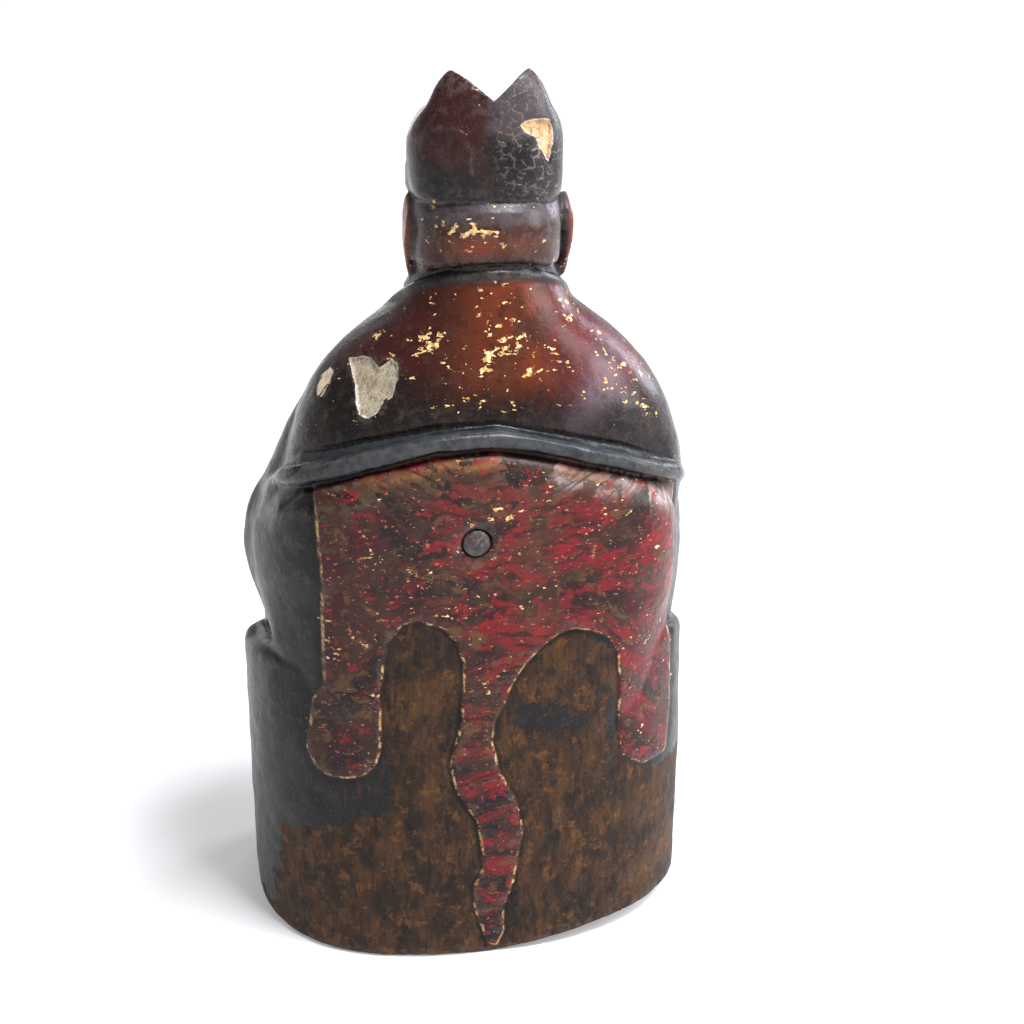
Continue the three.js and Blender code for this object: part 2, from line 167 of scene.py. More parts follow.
def tube(around, rings, place):
    """A closed tube of rings, whose points are set by place(angle, t, out) with t from 0 to 1."""
    t = np.linspace(0, 1, rings + 1)[:, None]
    angle = np.linspace(0, 2 * np.pi, around, endpoint=False)[None]
    body = place(angle + 0 * t, t + 0 * angle, 1.0).reshape(-1, 3)
    ends = place(np.zeros((2, 1)), np.array([[0.0], [1.0]]), 0.0).reshape(-1, 3)
    i, j = np.meshgrid(np.arange(rings), np.arange(around), indexing="ij")
    k = (j + 1) % around
    quads = np.stack([i * around + j, i * around + k, (i + 1) * around + k, (i + 1) * around + j], -1)
    first, last = len(body), len(body) + 1
    j, k = np.arange(around), (np.arange(around) + 1) % around
    low = np.stack([k, j, np.full(around, first)], -1)
    high = np.stack([j, k, np.full(around, last)], -1) + [rings * around, rings * around, 0]
    return np.concatenate([body, ends]), quads.reshape(-1, 4).tolist() + low.tolist() + high.tolist()


def reach(angle, wide, back, front, flare, square):
    """How far a rounded outline reaches from its centre. Angle 0 looks to the back, +Y."""
    x, y = np.sin(angle), np.cos(angle)
    tilt = np.radians(flare)
    side = (abs(x) * np.cos(tilt) + y * np.sin(tilt)) / (wide * np.cos(tilt))
    end = np.where(y > 0, y / back, -y / front)
    return (np.maximum(0, side) ** square + end**square) ** (-1 / square)


def at(z, wide=None, **values):
    """A level of a stack: its height, its half width and what else changes there."""
    return {"z": z, "wide": wide, **values}


def stack(levels, around=160, between=7, shape=None):
    """Outlines stacked upwards. A value left unsaid is as in the level below."""
    names = ("z", "x", "y", "wide", "back", "front", "flare", "square")
    last, keys = {"x": 0, "y": 0, "flare": 0, "square": 2}, []
    for level in levels:
        last.update({name: value for name, value in level.items() if value is not None})
        keys.append([last[name] for name in names])
    line = line_through(keys)

    def place(angle, t, out):
        z, x, y, *outline = np.moveaxis(line(t * (len(keys) - 1)), -1, 0)
        r = out * reach(angle, *outline)
        point = np.stack([x + r * np.sin(angle), y + r * np.cos(angle), z], -1)
        return shape(point, angle, t, out) if shape else point

    return tube(around, between * (len(keys) - 1), place)


def folds(count, deep):
    """Upright folds round a stack, deepest at its foot."""

    def shape(point, angle, t, out):
        fold = out * deep * (1 - t) * np.cos(angle * count)
        return point + np.stack([fold * np.sin(angle), fold * np.cos(angle), 0 * fold], -1)

    return shape


def bar(knots, around=20, between=8, flat=1):
    """A round bar along a smooth line. Each knot is [x, y, z, radius]."""
    rings = between * (len(knots) - 1)
    points = line_through(knots, loose=True)(np.linspace(0, len(knots) - 1, rings + 1))
    centre, radius = points[:, :3], np.abs(points[:, 3:])
    along = np.gradient(centre, axis=0)
    along /= np.linalg.norm(along, axis=1)[:, None]
    normals = []
    side = np.cross(along[0], np.eye(3)[np.abs(along[0]).argmin()])
    normal = np.cross(along[0], side)
    for direction in along:
        normal = normal - direction * (normal @ direction)
        normal = normal / np.linalg.norm(normal)
        normals.append(normal)
    normals = np.array(normals)
    across = np.cross(along, normals)

    def place(angle, t, out):
        i = np.rint(t * rings).astype(int)
        turn = normals[i] * np.cos(angle)[..., None] * flat + across[i] * np.sin(angle)[..., None]
        return centre[i] + out * radius[i] * turn

    return tube(around, rings, place)


def mirrored(side, middle, knots):
    """Knots of a bar on one side, with x given outwards from a middle line."""
    return [[middle + side * x, y, z, radius] for x, y, z, radius in knots]


def egg(x, y, z, rx, ry, rz):
    def place(angle, t, out):
        lean = 0.04 + t * (np.pi - 0.08)
        r = out * np.sin(lean)
        return np.stack([x + rx * r * np.sin(angle), y + ry * r * np.cos(angle), z - rz * np.cos(lean)], -1)

    return tube(28, 16, place)


def ring(x, y, z, rx, ry, thick, tall, tilt):
    around, sides = 96, 14
    u, v = np.meshgrid(np.arange(around), np.arange(sides), indexing="ij")
    a, b = u * 2 * np.pi / around, v * 2 * np.pi / sides
    out = 1 + thick / rx * np.cos(b)
    points = np.stack([rx * out * np.cos(a), ry * out * np.sin(a), tall * np.sin(b)], -1).reshape(-1, 3)
    c, s = np.cos(np.radians(tilt)), np.sin(np.radians(tilt))
    points = points @ np.array([[1, 0, 0], [0, c, -s], [0, s, c]]).T + [x, y, z]
    far, up = (u + 1) % around, (v + 1) % sides
    quads = np.stack([u * sides + v, far * sides + v, far * sides + up, u * sides + up], -1)
    return points, quads.reshape(-1, 4).tolist()


# Chair and plinth

def seat_block():
    def shape(point, angle, t, out):
        share = step(point[..., 2], SEAT_Z / 2, SEAT_Z - 8)
        point[..., 2] += 9 * share * step(point[..., 1], CENTRE_Y, 32)
        return point

    wide = HALF_WIDTH
    return stack([
        at(0, wide - 1.2, y=CENTRE_Y, back=BACK - 1.2, front=16, square=2.6),
        at(3, wide, back=BACK),
        at(SEAT_Z / 2, square=2.7),
        at(SEAT_Z - 7, square=2.5),
        at(SEAT_Z - 3, wide - 1, back=BACK - 1),
        at(SEAT_Z - 1, wide - 4, back=BACK - 4),
    ], around=240, between=12, shape=shape)


def plinth_step():
    front, wide = CENTRE_Y - FRONT_Y, HALF_WIDTH
    return stack([
        at(0, wide - 1.2, y=CENTRE_Y, back=30, front=front - 1.2, square=3.8),
        at(3, wide, front=front),
        at(PLINTH_Z - 2.5),
        at(PLINTH_Z, wide - 2, front=front - 2),
    ], around=240)


def rail_drop(angle):
    turned = (np.degrees(angle) - RAIL_TURN + 180) % 360 - 180
    return 33 * abs(turned / 80) ** 1.55


def chair_wall():
    def shape(point, angle, t, out):
        x, y, z = point[..., 0], point[..., 1], point[..., 2]
        z -= step(z, SEAT_Z + 10, RAIL_Z) * rail_drop(angle)
        waist = (1 - step(z, 104, 128)) * (1 - step(y, 8, 26))
        bulge = (4.5 - 3 * step(z, 136, 160)) * (1 - waist)
        left = step(x, 30, 62) * (1 - step(y, 18, 46))
        right = step(-x, 30, 66) * (1 - step(y, 0, 38))
        x += bulge * left - 4 * right
        return point

    return stack([
        at(50, 59, x=-0.5, y=CENTRE_Y, back=BACK - 1.6, front=10, flare=6, square=3.6),
        at(72, 64.5, back=BACK - 0.1, flare=8, square=3.9),
        at(SEAT_Z, 67.5, back=BACK + 0.2, flare=8.5, square=4.6),
        at(110, 67.8, back=BACK, flare=7),
        at(124, x=-1, flare=6, square=5),
        at(140, 68, back=BACK + 0.4, square=6),
        at(154, back=BACK + 1.2),
        at(164, 67.3, back=BACK + 1.5),
        at(170, 66.5, back=BACK + 1.2, square=5),
        at(175, 64, back=BACK - 2),
    ], around=240, between=9, shape=shape)


def rail_knots():
    knots = []
    for i in range(-6, 7):
        angle = np.radians(i / 6 * 97)
        r = reach(angle, 66.8, BACK - 1.5, 30, 6, 5)
        knots.append([r * np.sin(angle) - 3, CENTRE_Y + r * np.cos(angle), RAIL_Z - rail_drop(angle), 3])
    return knots


def rail_height(x):
    """The middle line of the rail, seen from behind."""
    knots = sorted(knot[::2][:2] for knot in rail_knots()[1:-1])
    return np.interp(x, *np.transpose(knots))


def side_fold(side):
    knots = [
        [57, -9, 154, 3], [66, -7, 145, 4], [68.3, -6, 135, 4.4], [68.3, -5, 126, 4.5],
        [66, -2, 117, 4.4], [62.2, 6, 109.3, 4], [59.2, 17, 104.3, 3.2], [57, 26, 102, 2],
    ]
    return bar(mirrored(side, -2 if side < 0 else 0, knots))


# Body and robe

def robe_body():
    return stack([
        at(SEAT_Z - 8, 56, x=LEAN_X / 2, y=8, back=34, front=40, square=3),
        at(120, 59, x=LEAN_X, front=40),
        at(142, 62, front=42, back=36),
        at(160, 63, front=38, back=37.5, square=2.8),
        at(172, 60.5, front=34, back=38, square=2.5),
        at(182, 56.3, front=31, back=37),
        at(191, 50.8, front=29, back=34.8, square=2.3),
        at(199, 43.2, front=27, back=32),
        at(205.5, 34.8, front=25, back=29.8),
        at(211, 27.5, front=22, back=28),
        at(222, 21, front=14, back=24.5),
    ], around=200)


def lapels():
    over = [
        [15.5, -10.8, 210.5, 2], [9, -18.6, 199, 2.2], [1, -22.2, 187, 2.2], [-8, -26.6, 171, 2.2],
        [-15, -32, 152, 2],
    ]
    under = [[15.5, -10.8, 210.5, 2], [9, -18.6, 199, 2.2], [3, -21, 190, 1.8]]
    return [bar(mirrored(1, LEAN_X, over)), bar(mirrored(-1, LEAN_X, under))]


def arm(side):
    upper = [[29, 4, 189, 11], [41.5, -1, 171, 15.5], [49.5, -8, 151, 16.5], [52, -16, 135, 15]]
    fore = [[56, -6, 140, 13], [52, -22, 133, 13.5], [43, -33, 127, 12.5], [36, -39, 123, 9.5]]
    hanging = stack([
        at(SEAT_Z - 4, 12, x=ARMS_X + side * 55, y=-20, back=18, front=15, square=2.4),
        at(104, 13, back=20, front=17),
        at(118, 15, x=ARMS_X + side * 54, back=20, front=18),
        at(134, 17, x=ARMS_X + side * 52, back=18, front=16),
        at(146, 14, back=14, front=12),
    ], around=120, shape=folds(6, 1.5))
    return [bar(mirrored(side, ARMS_X, knots), around=40) for knots in (upper, fore)] + [hanging]


def hand(side):
    fingers = []
    for i in range(4):
        across = 37.5 - i * 3.6
        long = 0 if i in (0, 3) else 1.2
        fingers.append([
            [across, -42.5, 122.5, 2.1],
            [across - 0.4, -46.5 - long, 120.5, 2],
            [across - 0.8, -48.8 - long, 115.5, 1.7],
            [across - 1, -49 - long, 111, 0.9],
        ])
    fingers.append([[27, -40, 122, 2.6], [23.5, -44, 120, 2.2], [22.5, -47.5, 116.5, 1.2]])
    palm = egg(ARMS_X + side * 32, -42, 121, 7, 8.5, 4.5)
    return [palm] + [bar(mirrored(side, ARMS_X, knots), around=14) for knots in fingers]


def leg(side):
    x = side * KNEE_X + LAP_X
    thigh = bar([[x * 0.8, 5, 112, 18], [x, -18, 109, 18], [x, -34, 106, 17], [x, -44, 101, 10]], around=48)
    shin = stack([
        at(PLINTH_Z + 9, 22, x=x * 1.04, y=-26, back=16, front=19.5, square=2.3),
        at(PLINTH_Z + 22, 20.5, front=18),
        at(70, 19, x=x, front=18.5),
        at(92, 19, front=21),
        at(106, 17.5, front=21.5),
        at(117, 11, front=14, back=12),
    ], around=140, shape=folds(7, 1.4))
    return [thigh, shin]


def boot(side):
    x = side * (KNEE_X + 1) + LAP_X
    return [egg(x, -36, PLINTH_Z + 3, 10.5, 14, 9), egg(x, -30, PLINTH_Z + 9, 10, 11, 12)]


def apron():
    parts = [stack([
        at(PLINTH_Z + 7, 20, x=LAP_X, y=-25, back=10, front=16, square=3.5),
        at(60, 19, front=14),
        at(90, 19, front=16),
        at(108, 19, front=18),
        at(118, 18, front=13),
    ], around=140, shape=folds(9, 1))]
    for i in range(3):
        knots = []
        for j in range(-2, 3):
            sag = 1 - (j / 2) ** 2
            knots.append([LAP_X + (12 - i) * j / 2, -39.5 - sag * 2 + i * 0.8, 104 - i * 19 - 10 * sag, 2.4])
        parts.append(bar(knots))
    return parts


def sash():
    end = [[3, -37.5, 141, 3.2], [4, -42, 121, 3.6], [5, -43.5, 104, 3.8], [6, -42, 84, 4.2],
           [7, -40.5, 62, 4.6]]
    knot = egg(LAP_X, -38, BELT_Z - 1, 7, 5, 5.5)
    return [bar(mirrored(side, LAP_X, end), flat=0.5) for side in SIDES] + [knot]


# Head and hat

def head():
    chin, eyes, wide = CHIN_Z, EYES_Z, HEAD_HALF_WIDTH
    return stack([
        at(chin - 2, 10, x=LEAN_X, y=8, back=18, front=17, square=2.2),
        at(chin + 1, 13, front=23.5),
        at(chin + 6, 17.5, back=20, front=26),
        at(chin + 14, wide - 1.5, back=23, front=27),
        at(eyes - 4, wide, back=25.5, square=2.4),
        at(eyes + 4, wide, back=27.5, front=26.5),
        at(eyes + 9, wide, back=27),
        at(BRIM_Z, wide - 0.8, back=24),
    ])


def face_features():
    front, eyes = -18.6, EYES_Z
    nose = [[front + 1.5, eyes + 4, 1.6], [front - 0.6, eyes - 3, 2.1], [front - 2.4, eyes - 9, 3.1],
            [front + 0.5, eyes - 11, 2]]
    brow = [[3.5, front + 0.6, eyes + 4.6, 1], [9, front + 1.4, eyes + 6.8, 1.4],
            [14.5, front + 5.2, eyes + 4.6, 0.9]]
    parts = [
        bar([[LEAN_X, *knot] for knot in nose]),
        egg(LEAN_X, front + 0.9, CHIN_Z + 10.8, 5.2, 1.9, 1.4),
        egg(LEAN_X, front + 1.4, CHIN_Z + 8.2, 4.2, 1.9, 1.5),
        egg(LEAN_X, front + 3.4, CHIN_Z + 2.8, 6, 3.6, 3.8),
    ]
    for side in SIDES:
        parts += [
            egg(LEAN_X + side * 8.6, front + 2.6, eyes, 4.8, 2.6, 2.5),
            egg(LEAN_X + side * 2.9, front + 0.1, eyes - 9, 1.9, 1.9, 1.7),
            bar(mirrored(side, LEAN_X, brow)),
        ]
    return parts


def ear(side):
    x = LEAN_X - 1 + side * (HEAD_HALF_WIDTH + 0.3)
    points, faces = bar(mirrored(side, x, [
        [-0.6, 9, BRIM_Z - 2, 3],
        [1.4, 11, BRIM_Z - 7, 6],
        [1.2, 10, BRIM_Z - 14, 5],
        [0.6, 8, BRIM_Z - 21, 4],
        [0, 7, BRIM_Z - 27, 3],
    ]))
    middle = x - side * 1.5
    lean = ((points[:, 1] - 10) / 12) ** 2 + ((points[:, 2] - BRIM_Z + 13) / 17) ** 2
    limit = 4.4 * np.sqrt(np.clip(1 - lean, 0.02, 1))
    points[:, 0] = middle + np.clip(points[:, 0] - middle, -limit, limit)
    return points, faces


def hat_cap():
    return stack([
        at(BRIM_Z - 1, 21.6, x=LEAN_X, y=4, back=22, front=23, square=2.5),
        at(BRIM_Z + 0.5, 22.6, front=24.5),
        at(BRIM_Z + 6),
        at(BRIM_Z + 8, 22.2, front=22.8),
        at(BRIM_Z + 16, 21.2, back=18, front=19),
        at(BRIM_Z + 23, 17.5, back=14, front=14),
        at(BRIM_Z + 27.5, 9, back=8, front=7),
    ])


def hat_crest():
    return stack([
        at(BRIM_Z - 0.5, 21.8, x=LEAN_X, y=14, back=18.6, front=12, square=2.6),
        at(BRIM_Z + 1, 22.4, back=19.2),
        at(BRIM_Z + 8, 23.1, back=19.6),
        at(BRIM_Z + 15, 23),
        at(BRIM_Z + 21, 21.4, y=18, back=14.6, front=11),
        at(TOP_Z - 10, 18, y=22, back=9.6, front=7.5),
        at(TOP_Z - 5, 15.8, y=23, back=7.2, front=5),
        at(TOP_Z - 1.2, 12.8, y=23.5, back=4.6, front=3),
        at(TOP_Z + 0.4, 10.8, back=2.4, front=1.6),
    ])


def cut_notch(points):
    """The notch between the hat's two points."""
    tilt = np.radians(18)
    up = np.array([0, -np.sin(tilt), np.cos(tilt)])
    offset = points - [LEAN_X, 27, TOP_Z - 10]
    limit = abs(offset[:, 0]) * np.where(offset[:, 0] > 0, 13.2, 13.8) / 15
    over = np.maximum(0, offset @ up - limit) * (points[:, 2] > TOP_Z - 14)
    return points - over[:, None] * up


def cut_worn_edge(points):
    """Wood lost along the rear edge of the underside, deepest at the figure's right."""
    turn = np.radians(38)
    beyond = -np.sin(turn) * (points[:, 0] + 40) + np.cos(turn) * (points[:, 1] - 17)
    side = np.cos(turn) * (points[:, 0] + 40) + np.sin(turn) * (points[:, 1] - 17)
    floor = np.maximum(0, beyond) * np.tan(np.radians(14)) * (abs(side) < 60)
    worn = points.copy()
    worn[:, 2] = np.maximum(points[:, 2], floor)
    return worn


# Drawn lines on the back, as (x, z)

SKIN = [
    (51, 185), (-61, 185), (-61.5, 151), (-60.4, 141),
    (-61.5, 120), (-63, 101), (-64, 76), (-62, 60), (-52, 60.5), (-44.4, 66.8), (-42.7, 80), (-42.4, 95.7),
    (-41.2, 105.7), (-37.6, 111), (-32, 114.2), (-26.6, 115.4), (-21.5, 114.2), (-16.2, 110.3),
    (-11.2, 105.2), (-6.5, 98), (-4, 91), (-1.5, 86), (-0.2, 79.3), (-2.6, 68), (-8.2, 56.2),
    (-10.1, 46), (-8.2, 34.7),
    (-7, 26), (-3.8, 17.6), (-3.8, 8), (-1.5, 3), (1.5, 4), (2.7, 9), (5.8, 18.7), (5.7, 26), (2.5, 33.2),
    (3.1, 41.9), (4.3, 50.5), (10.4, 60.9), (12.6, 70.8), (10.8, 78.8), (9, 86.5), (8.4, 97.2), (8, 106.6),
    (10.5, 114.2), (14.4, 118.7), (21.9, 121.8), (27, 120.6), (31.1, 115), (32.8, 107.9), (34, 97.3),
    (34.5, 77), (36.5, 71), (40.3, 67.5), (46.1, 66.3), (50.9, 66.7), (54.5, 69.2), (56.4, 75), (55.6, 80),
    (54, 92), (50.6, 98), (50.4, 113.8), (49.9, 135.3), (50.5, 148.3),
]
TAIL = [
    (3, 98), (4.5, 88), (5, 78), (5, 69), (1.5, 60), (-2.8, 50), (-3.4, 40), (-2.4, 32), (-0.8, 25), (1, 18),
    (-0.6, 4),
]
HEART = [
    (37.9, 196.6), (34.2, 198.2), (31.7, 198.3), (29.8, 195.9), (28.3, 197.1), (26.4, 198.4), (24.5, 197.6),
    (24.7, 194.5), (26.1, 190.9), (26.8, 188.8), (29.1, 187.5), (30.8, 184.3), (33.9, 182.2), (36.5, 183),
    (36.9, 184.7), (37.1, 190.4), (37.5, 194),
]
SCAR = [(43.4, 193.2), (42.3, 192.8), (44.3, 189), (46.7, 185.7), (48.2, 185), (47.4, 187.4), (45.6, 190.7)]
HAT_LOSS = [
    (-12.3, 264.9), (-14, 266.1), (-18.6, 266.5), (-21.4, 266.2), (-22.4, 264.1), (-22.4, 260.2),
    (-22, 257.5), (-21.2, 253.6), (-20.1, 254.9), (-19.1, 257.3), (-17.9, 258.7), (-17.3, 261.2),
    (-15.1, 262.1), (-13.4, 263),
]
HAT_CUT = [(12, 264), (8, 264.8), (4.6, 262.7), (2.6, 258.5), (2, 252)]
FLAKED = [(-16, 262), (-18.2, 257.7), (-20.5, 253.3), (-21.2, 249.6), (-23.6, 245.7)]
BLACK = [
    [(70, 61), (56, 64), (38, 66), (33, 72), (29.5, 71), (29, 55), (46, 50), (60, 47), (72, 42)],
    [(-3, 93.4), (-9, 95), (-16.5, 91), (-15, 84), (-8, 80), (-3, 85)],
    [(-12, 84), (-24, 88), (-30, 82), (-22, 76)],
    [(-36, 93), (-43.5, 91), (-44, 60), (-37, 58), (-38.5, 76)],
]
WOOD = [
    (33.5, 114), (34, 76), (30, 70), (30, 56), (46, 50), (66, 42), (72, 0), (-76, 0), (-76, 52), (-60, 57),
    (-46, 62), (-43.5, 90), (-41, 104), (-27, 115), (-11, 105), (-4, 92), (8, 98), (8, 110), (14, 118),
    (22, 121.5), (28, 120),
]

# Folds of the sleeves and chest seen from the front, as (x, z) with x outwards from the middle
DRAPES = [
    [(25, 194), (33, 178), (38, 164), (38, 154)], [(35, 186), (43, 172), (48, 158), (49, 150)],
    [(47, 176), (54, 162), (57, 150)], [(16, 184), (23, 170), (27, 157), (26, 151)],
    [(61, 140), (52, 137), (43, 131)], [(62, 131), (54, 128), (46, 122)], [(60, 121), (54, 118), (49, 112)],
    [(20, 140), (22, 130), (20, 121)], [(12, 140), (13, 128), (12, 117)],
]
LAPELS = [[(10.5, 210), (4, 199), (-4, 187), (-13, 171), (-20, 152)], [(-20.5, 210), (-14, 199), (-8, 190)]]


# One mesh

def mesh_of(name, parts):
    verts, faces, start = [], [], 0
    for points, polygons in parts:
        verts.append(points)
        faces += [[start + i for i in polygon] for polygon in polygons]
        start += len(points)
    mesh = bpy.data.meshes.new(name)
    mesh.from_pydata((np.concatenate(verts) / 1000).tolist(), [], faces)
    obj = bpy.data.objects.new(name, mesh)
    scene.collection.objects.link(obj)
    return obj


def apply(obj, kind, **values):
    modifier = obj.modifiers.new(kind, kind)
    for key, value in values.items():
        setattr(modifier, key, value)
    graph = bpy.context.evaluated_depsgraph_get()
    new = bpy.data.meshes.new_from_object(obj.evaluated_get(graph), depsgraph=graph)
    obj.modifiers.clear()
    obj.data = new


def read(obj):
    mesh = obj.data
    points = np.empty(len(mesh.vertices) * 3, np.float32)
    normals = np.empty(len(mesh.vertices) * 3, np.float32)
    mesh.vertices.foreach_get("co", points)
    mesh.vertices.foreach_get("normal", normals)
    return points.reshape(-1, 3).astype(float) * 1000, normals.reshape(-1, 3).astype(float)


def write(obj, points):
    obj.data.vertices.foreach_set("co", (points / 1000).astype(np.float32).ravel())
    obj.data.update()


def edges_of(obj):
    edges = np.empty(len(obj.data.edges) * 2, np.int32)
    obj.data.edges.foreach_get("vertices", edges)
    return edges.reshape(-1, 2)


def spread(values, edges):
    """The mean over each vertex's neighbours."""
    ends, others = np.concatenate([edges, edges[:, ::-1]]).T
    share = 1 / np.maximum(1, np.bincount(ends, minlength=len(values)))
    return np.stack([np.bincount(ends, column[others], len(values)) * share for column in values.T], -1)


def soften(points, edges, share, times):
    for _ in range(times):
        points = points + share[:, None] * (spread(points, edges) - points)
    return points


def hollows(points, normals, edges):
    """How deep each vertex lies among its surroundings in mm, less than 0 on an edge."""
    smooth = soften(points, edges, np.full(len(points), 0.8), 10)
    return ((smooth - points) * normals).sum(1)


def above_collar(y, z):
    """Height over the middle of the collar, which slopes up to the back."""
    return z - COLLAR_Z - (y - 8) * math.tan(math.radians(COLLAR_TILT))


def relief(points, normals):
    """Carving, wear and losses finer than the solid's faces, along the normal in mm."""
    x, y, z = points.T
    flat = points[:, [0, 2]]
    rear = step(normals[:, 1], 0.0, 0.5) * step(y, 8, 20)
    block = rear * (z < 180)
    out = 0.35 * noise(points, 22, 1) + 0.12 * noise(points, 6, 5)

    over_rail = z - rail_height(x)
    skin = np.minimum(inside(flat, SKIN), -over_rail - 3.4)
    out += block * 0.6 * step(skin, -0.6, 0.8)
    out -= block * 0.4 * near(skin + 1.0, 0.9) * (0.6 + 0.6 * noise(points, 12, 71, 2))
    back_rail = step(y, 8, 20) * step(abs(x - 1), 63, 52)
    out -= back_rail * (0.9 * near(over_rail + 3.7, 0.9) + 0.6 * near(over_rail - 3.6, 0.8))
    out += back_rail * near(over_rail, 2.6) * (0.3 + 0.5 * noise(points, 9, 31, 2))

    collar_line = above_collar(y, z)
    neck = (abs(x - LEAN_X) < 30) * (z > 203) * (z < 230) * (y > -14)
    out += neck * (0.6 * near(collar_line, 1.7) - 1.0 * near(collar_line - 2.9, 0.8))
    out += 1.0 * rear * step(z, BRIM_Z - 1, BRIM_Z - 9) * (z > 224)

    hat = rear * (z > BRIM_Z)
    out += hat * 0.25 * near(to_line(flat, FLAKED)[0], 3) * noise(points, 2.4, 51)
    loss = inside(flat, HAT_LOSS) + 0.6 * noise(points, 4, 9)
    out -= hat * 1.1 * step(loss, -0.3, 0.5)
    out += hat * 0.5 * near(to_line(flat, HAT_CUT)[0], 0.8)

    robe = rear * (z > 176) * (z < 212)
    for outline, deep in ((HEART, 1.0), (SCAR, 0.6)):
        edge = inside(flat, outline) + 0.4 * noise(points, 3, 12)
        out -= robe * deep * step(edge, -0.2, 0.6)
        out += robe * 0.25 * near(edge + 0.8, 0.8)

    front = step(-normals[:, 1], 0.05, 0.4) * (y < 0)
    for side in SIDES:
        outward = np.stack([(x - ARMS_X) * side, z], -1)
        for line in DRAPES:
            distance, run = to_line(outward, line)
            length = sum(math.dist(a, b) for a, b in zip(line, line[1:]))
            taper = front * step(run, -1, 12) * step(length - run, -1, 8)
            out += taper * (1.2 * near(distance, 2.6) - 0.7 * near(distance - 4.8, 2))

    # the peg's hole keeps its straight sides: beside it the relief goes straight back
    around_peg = np.hypot(x - PEG[0], z - PEG[2])
    out -= block * 0.35 * near(around_peg - PEG_RADIUS - 0.4, 0.9)
    at_peg = (step(around_peg, PEG_RADIUS + 2.5, PEG_RADIUS + 1) * (y > 40))[:, None]
    direction = normals * (1 - at_peg) + np.array([0, 1, 0]) * at_peg
    return points + direction * out[:, None]


def carved_figure():
    collar = ring(LEAN_X, 8, COLLAR_Z, 22, 25, 2, 2.4, COLLAR_TILT)
    belt = ring(LEAN_X, 0, BELT_Z, 61, 35.5, 3, 4, 0)
    rail = bar(rail_knots(), between=14)
    parts = [seat_block(), plinth_step(), chair_wall(), rail, robe_body(), collar, belt]
    parts += lapels() + apron() + sash() + [head(), hat_cap(), hat_crest()] + face_features()
    for side in SIDES:
        parts += [side_fold(side), ear(side)] + arm(side) + hand(side) + leg(side) + boot(side)
    obj = mesh_of("carved_figure_detail", parts)
    apply(obj, "REMESH", mode="VOXEL", voxel_size=VOXEL / 1000, adaptivity=0)
    apply(obj, "SMOOTH", factor=0.5, iterations=3)
    depths = (60, 52, 48, PEG[1] - PEG_DEPTH - 0.5)
    hole = bar([[PEG[0], depth, PEG[2], PEG_RADIUS + PEG_GAP] for depth in depths], around=48)
    cutter = mesh_of("peg_hole", [hole])
    apply(obj, "BOOLEAN", operation="DIFFERENCE", solver="MANIFOLD", object=cutter)
    bpy.data.objects.remove(cutter)

    # the chair's sides run softly into the folds, a little further out than the solid's
    points, _ = read(obj)
    x, y, z = points.T
    beside = step(abs(x), 50, 60) * step(abs(y + 2), 26, 14) * step(abs(z - 132), 34, 22)
    points = soften(points, edges_of(obj), beside, 90)
    points[:, 0] += 1.1 * beside * np.sign(x)
    write(obj, cut_worn_edge(cut_notch(points)))
    apply(obj, "WELD", merge_threshold=0.0001)
    points = relief(*read(obj))
    points[:, 2] = np.maximum(points[:, 2], 0)
    write(obj, points)
    count = sum(len(polygon.vertices) - 2 for polygon in obj.data.polygons)
    apply(obj, "TRIANGULATE")
    apply(obj, "DECIMATE", ratio=min(1, TRIANGLES / count))
    return obj


def back_peg():
    profile = np.array([
        (PEG_RADIUS, -PEG_DEPTH), (PEG_RADIUS, -0.2), (4.25, 0.3), (3.9, 0.8), (3.2, 1.2), (1.8, 1.5),
    ])
    steps = len(profile) - 1

    def place(angle, t, out):
        radius, depth = np.moveaxis(profile[np.rint(t * steps).astype(int)], -1, 0)
        dome = 0.1 * t * (1 - out)
        return PEG + np.stack([out * radius * np.cos(angle), depth + dome, out * radius * np.sin(angle)], -1)

    points, faces = tube(48, steps, place)
    proud = points[:, 1] > PEG[1]
    points[:, 1] += proud * 0.25 * noise(points, 2.5, 41)
    obj = mesh_of("back_peg_detail", [(points, [face[::-1] for face in faces])])
    apply(obj, "SUBSURF", levels=1)
    return obj


# Fields for the material, one value to a vertex

def rgb(r, g, b):
    value = np.array([r, g, b]) / 255
    return np.where(value <= 0.04045, value / 12.92, ((value + 0.055) / 1.055) ** 2.4)


def coats(base, *layers):
    """Colours laid over a base in turn, each with its share at every vertex."""
    for colour, share in layers:
        base = base + (rgb(*colour) - base) * np.clip(share, 0, 1)[:, None]
    return base


def store(obj, name, values, kind="FLOAT", key="value"):
    attribute = obj.data.attributes.new(name, kind, "POINT")
    attribute.data.foreach_set(key, np.asarray(values, np.float32).ravel())


